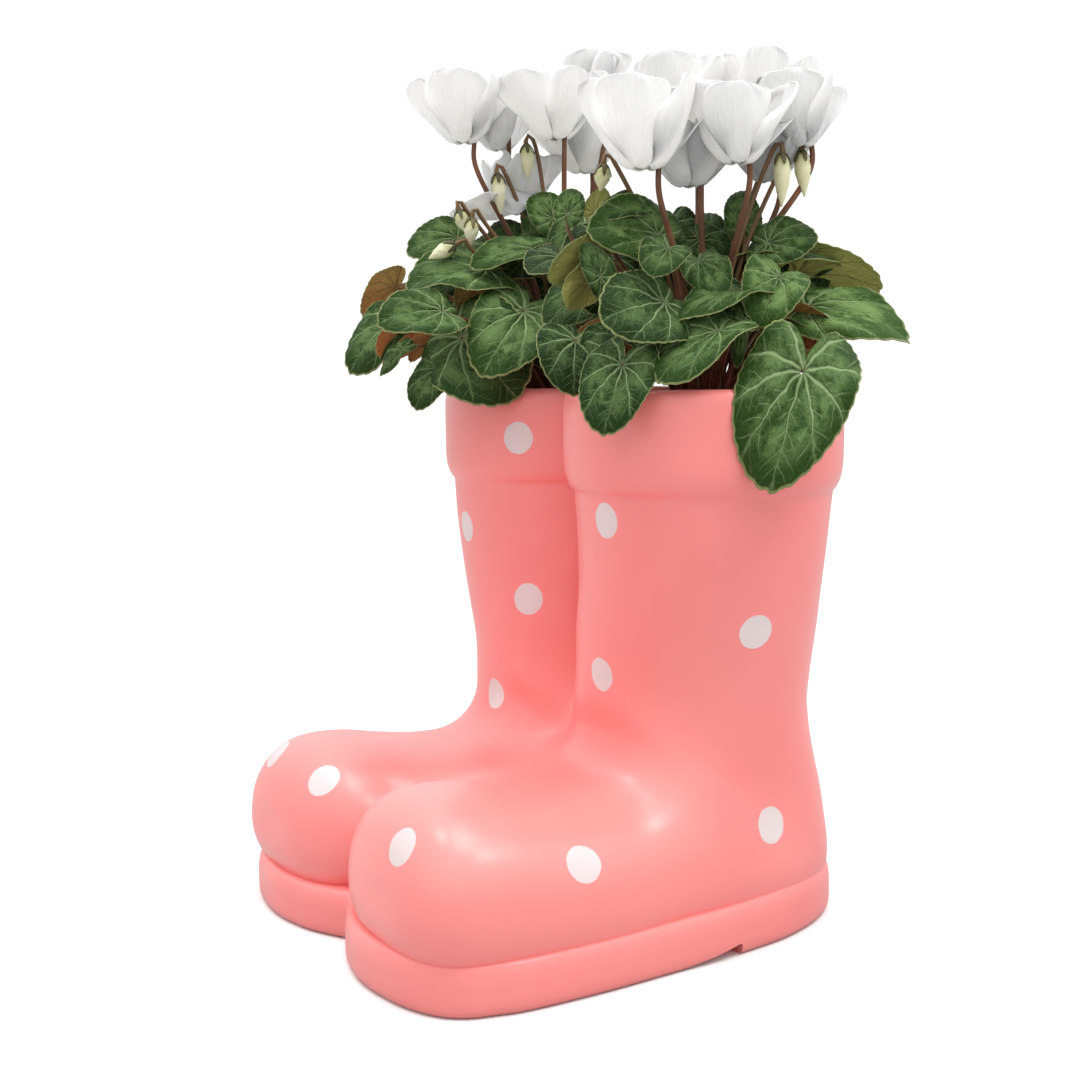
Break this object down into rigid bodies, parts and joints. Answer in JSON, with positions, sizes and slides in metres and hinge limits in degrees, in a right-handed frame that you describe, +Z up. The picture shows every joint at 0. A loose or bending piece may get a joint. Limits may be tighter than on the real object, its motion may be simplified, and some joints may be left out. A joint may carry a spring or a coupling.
{
  "type": "potted cyclamen",
  "caption": "White miniature cyclamen with marbled heart-shaped leaves, planted in a polka-dot planter shaped like a joined pair of rain boots.",
  "frame": {"origin": "on the floor under the middle of the pair, on the flat sole face where the two soles merge", "axes": "+Z up; the toes point toward -Y; the two boots stand side by side along X, mirrored about X = 0"},
  "size_m": [0.2753, 0.2452, 0.4015],
  "materials": {
    "glaze": "satin",
    "soil": "matte",
    "tuber": "matte",
    "leaf": "satin",
    "flower": "matte",
    "bud": "matte"
  },
  "bodies": {
    "root": {"boots_planter": "glaze", "soil_near": "soil", "soil_far": "soil", "tuber_near": "tuber", "tuber_far": "tuber", "bud_far_01": "bud", "bud_far_02": "bud", "bud_far_03": "bud", "bud_far_04": "bud", "bud_far_05": "bud", "bud_near_01": "bud", "bud_near_02": "bud", "bud_near_03": "bud", "flower_far_01": "flower", "flower_far_02": "flower", "flower_far_03": "flower", "flower_far_04": "flower", "flower_far_05": "flower", "flower_far_06": "flower", "flower_near_01": "flower", "flower_near_02": "flower", "flower_near_03": "flower", "flower_near_04": "flower", "flower_near_05": "flower", "flower_near_06": "flower", "flower_near_07": "flower", "leaf_far_01": "leaf", "leaf_far_02": "leaf", "leaf_far_03": "leaf", "leaf_far_04": "leaf", "leaf_far_05": "leaf", "leaf_far_06": "leaf", "leaf_far_07": "leaf", "leaf_far_08": "leaf", "leaf_far_09": "leaf", "leaf_far_10": "leaf", "leaf_far_11": "leaf", "leaf_far_12": "leaf", "leaf_far_13": "leaf", "leaf_far_14": "leaf", "leaf_far_15": "leaf", "leaf_far_16": "leaf", "leaf_near_01": "leaf", "leaf_near_02": "leaf", "leaf_near_03": "leaf", "leaf_near_04": "leaf", "leaf_near_05": "leaf", "leaf_near_06": "leaf", "leaf_near_07": "leaf", "leaf_near_08": "leaf", "leaf_near_09": "leaf", "leaf_near_10": "leaf", "leaf_near_11": "leaf", "leaf_near_12": "leaf", "leaf_near_13": "leaf", "leaf_near_14": "leaf", "leaf_near_15": "leaf", "leaf_near_16": "leaf", "leaf_near_17": "leaf"}
  },
  "joints": []
}
